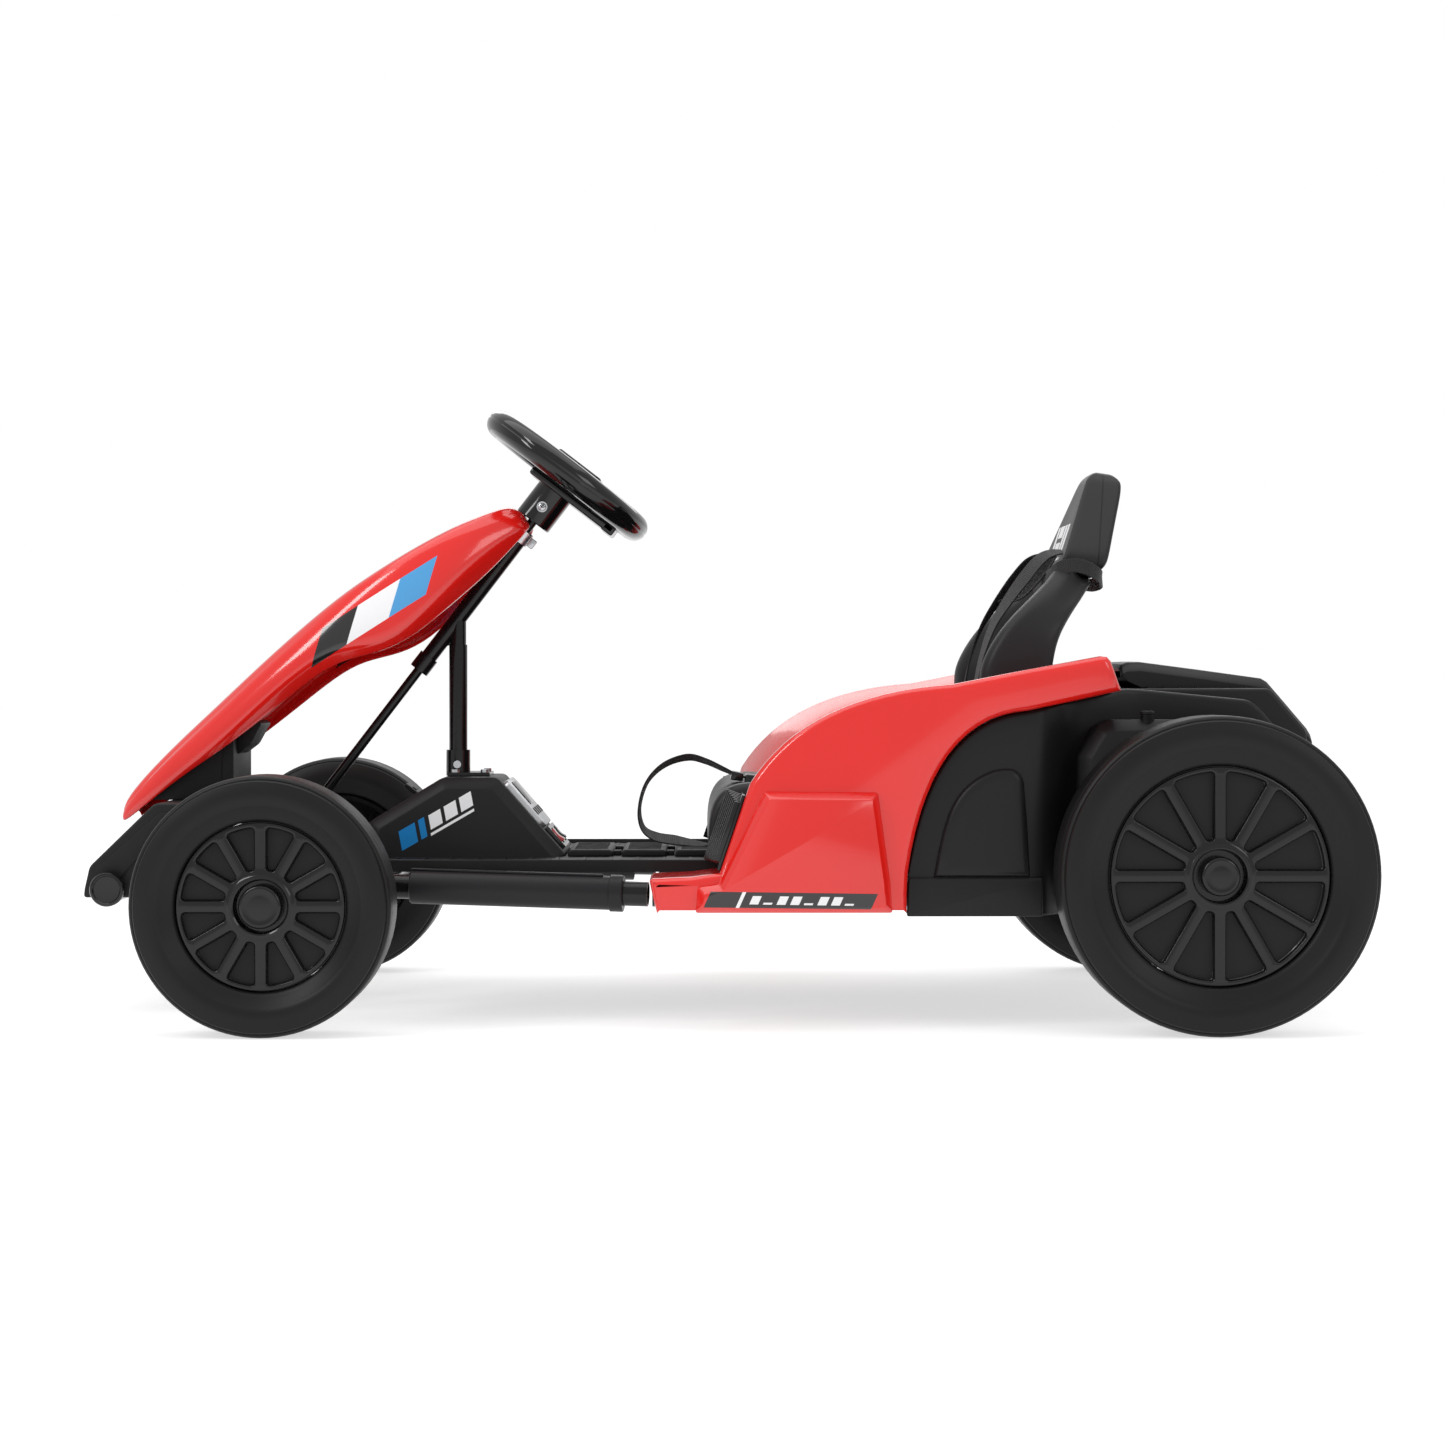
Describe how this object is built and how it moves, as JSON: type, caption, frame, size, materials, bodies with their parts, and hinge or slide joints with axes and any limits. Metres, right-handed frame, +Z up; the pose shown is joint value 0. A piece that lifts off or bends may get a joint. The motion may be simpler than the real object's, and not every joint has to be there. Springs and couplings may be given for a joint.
{
  "type": "kart chassis",
  "caption": "Child's electric kart with tube frame, moulded shells, bucket seat, steered front wheels and driven rear wheels.",
  "frame": {"origin": "on the ground under the middle of the kart's overall box", "axes": "-X towards the nose, +Y towards the driver's right, +Z up"},
  "size_m": [1.254, 0.7, 0.6161],
  "materials": {
    "steel_black": "gloss powder coat",
    "steel_zinc": "zinc plated",
    "shell_red": "gloss",
    "shell_black": "fine matte grain",
    "seat_grey": "matte",
    "trim_black": "satin gloss",
    "tyre_black": "satin moulded",
    "webbing": "woven",
    "bush_white": "natural",
    "button_red": "gloss",
    "battery_grey": "matte",
    "grip_foam": "matte"
  },
  "bodies": {
    "chassis": {"side_rails": "steel_black", "cross_tubes": "steel_black", "front_subframe": "steel_black", "axle_beam": "steel_black", "kingpins": "steel_zinc", "bumper_bar": "steel_black", "bar_end_caps": "trim_black", "bumper_cover": "shell_black", "nose_pylon": "shell_black", "nose_cover": "shell_red", "column_post": "steel_black", "post_socket": "steel_black", "column_tube": "steel_black", "column_bushes": "bush_white", "lower_bearing": "steel_black", "console": "shell_black", "control_panel": "trim_black", "floor_pan": "shell_black", "side_sleeves": "grip_foam", "pod_l": "shell_red", "pod_r": "shell_red", "grilles": "shell_black", "seat_base": "seat_grey", "seat_back": "seat_grey", "seat_band": "webbing", "shoulder_belts": "webbing", "belt_loop": "webbing", "buckle": "trim_black", "fenders": "shell_black", "rear_body": "shell_black", "rear_cover": "shell_black", "batteries": "battery_grey", "controller": "steel_zinc", "gearboxes": "shell_black", "motors": "steel_zinc", "rear_axle": "steel_zinc", "pedal_base": "shell_black", "fasteners": "steel_zinc"},
    "steering": {"steering_shaft": "steel_black", "steering_hub": "trim_black", "steering_wheel": "trim_black"},
    "horn": {"horn_button": "button_red"},
    "carrier_l": {"knuckle_l": "steel_black"},
    "carrier_r": {"knuckle_r": "steel_black"},
    "tie_rod": {"track_rod": "steel_black"},
    "accelerator": {"pedal": "shell_black"},
    "power_switch": {"power_rocker": "button_red"},
    "direction_switch": {"direction_rocker": "trim_black"},
    "wheel_front_l": {"front_tyre_l": "tyre_black", "front_rim_l": "trim_black", "front_cap_l": "trim_black"},
    "wheel_front_r": {"front_tyre_r": "tyre_black", "front_rim_r": "trim_black", "front_cap_r": "trim_black"},
    "wheel_rear_l": {"rear_tyre_l": "tyre_black", "rear_rim_l": "trim_black", "rear_cap_l": "trim_black"},
    "wheel_rear_r": {"rear_tyre_r": "tyre_black", "rear_rim_r": "trim_black", "rear_cap_r": "trim_black"}
  },
  "joints": [
    {"name": "steering_turn", "type": "hinge", "parent": "chassis", "child": "steering", "pos_m": [-0.299, 0, 0.355], "axis": [0.6088, 0, 0.7934], "range_deg": [-25, 25]},
    {"name": "horn_press", "type": "slide", "parent": "steering", "child": "horn", "axis": [-0.6088, 0, -0.7934], "range_m": [0, 0.002], "stiffness_N_per_m": 300},
    {"name": "carrier_l_turn", "type": "hinge", "parent": "chassis", "child": "carrier_l", "pos_m": [-0.423, -0.24, 0.123], "axis": [0, 0, 1], "range_deg": [-20, 20]},
    {"name": "carrier_r_turn", "type": "hinge", "parent": "chassis", "child": "carrier_r", "pos_m": [-0.423, 0.24, 0.123], "axis": [0, 0, 1], "range_deg": [-20, 20]},
    {"name": "tie_rod_turn", "type": "hinge", "parent": "carrier_l", "child": "tie_rod", "pos_m": [-0.468, -0.24, 0.147], "axis": [0, 0, 1], "range_deg": [-20, 20]},
    {"name": "accelerator_press", "type": "hinge", "parent": "chassis", "child": "accelerator", "pos_m": [-0.268, 0.131, 0.167], "axis": [0, -1, 0], "range_deg": [0, 16], "stiffness_Nm_per_rad": 2, "springref_deg": -8.59},
    {"name": "power_switch_tip", "type": "hinge", "parent": "chassis", "child": "power_switch", "pos_m": [-0.16162, -0.022, 0.1718], "axis": [0, 1, 0], "range_deg": [0, 14]},
    {"name": "direction_switch_tip", "type": "hinge", "parent": "chassis", "child": "direction_switch", "pos_m": [-0.16162, 0.022, 0.1718], "axis": [0, 1, 0], "range_deg": [0, 14]},
    {"name": "front_wheel_l_spin", "type": "hinge", "parent": "carrier_l", "child": "wheel_front_l", "pos_m": [-0.423, -0.312, 0.123], "axis": [0, 1, 0], "continuous": true},
    {"name": "front_wheel_r_spin", "type": "hinge", "parent": "carrier_r", "child": "wheel_front_r", "pos_m": [-0.423, 0.312, 0.123], "axis": [0, 1, 0], "continuous": true},
    {"name": "rear_wheel_l_spin", "type": "hinge", "parent": "chassis", "child": "wheel_rear_l", "pos_m": [0.476, -0.312, 0.151], "axis": [0, 1, 0], "continuous": true},
    {"name": "rear_wheel_r_spin", "type": "hinge", "parent": "chassis", "child": "wheel_rear_r", "pos_m": [0.476, 0.312, 0.151], "axis": [0, 1, 0], "continuous": true}
  ],
  "couplings": [
    {"joint": "carrier_l_turn", "follows": "steering_turn", "ratio": 0.8},
    {"joint": "carrier_r_turn", "follows": "steering_turn", "ratio": 0.8},
    {"joint": "tie_rod_turn", "follows": "steering_turn", "ratio": -0.8}
  ]
}
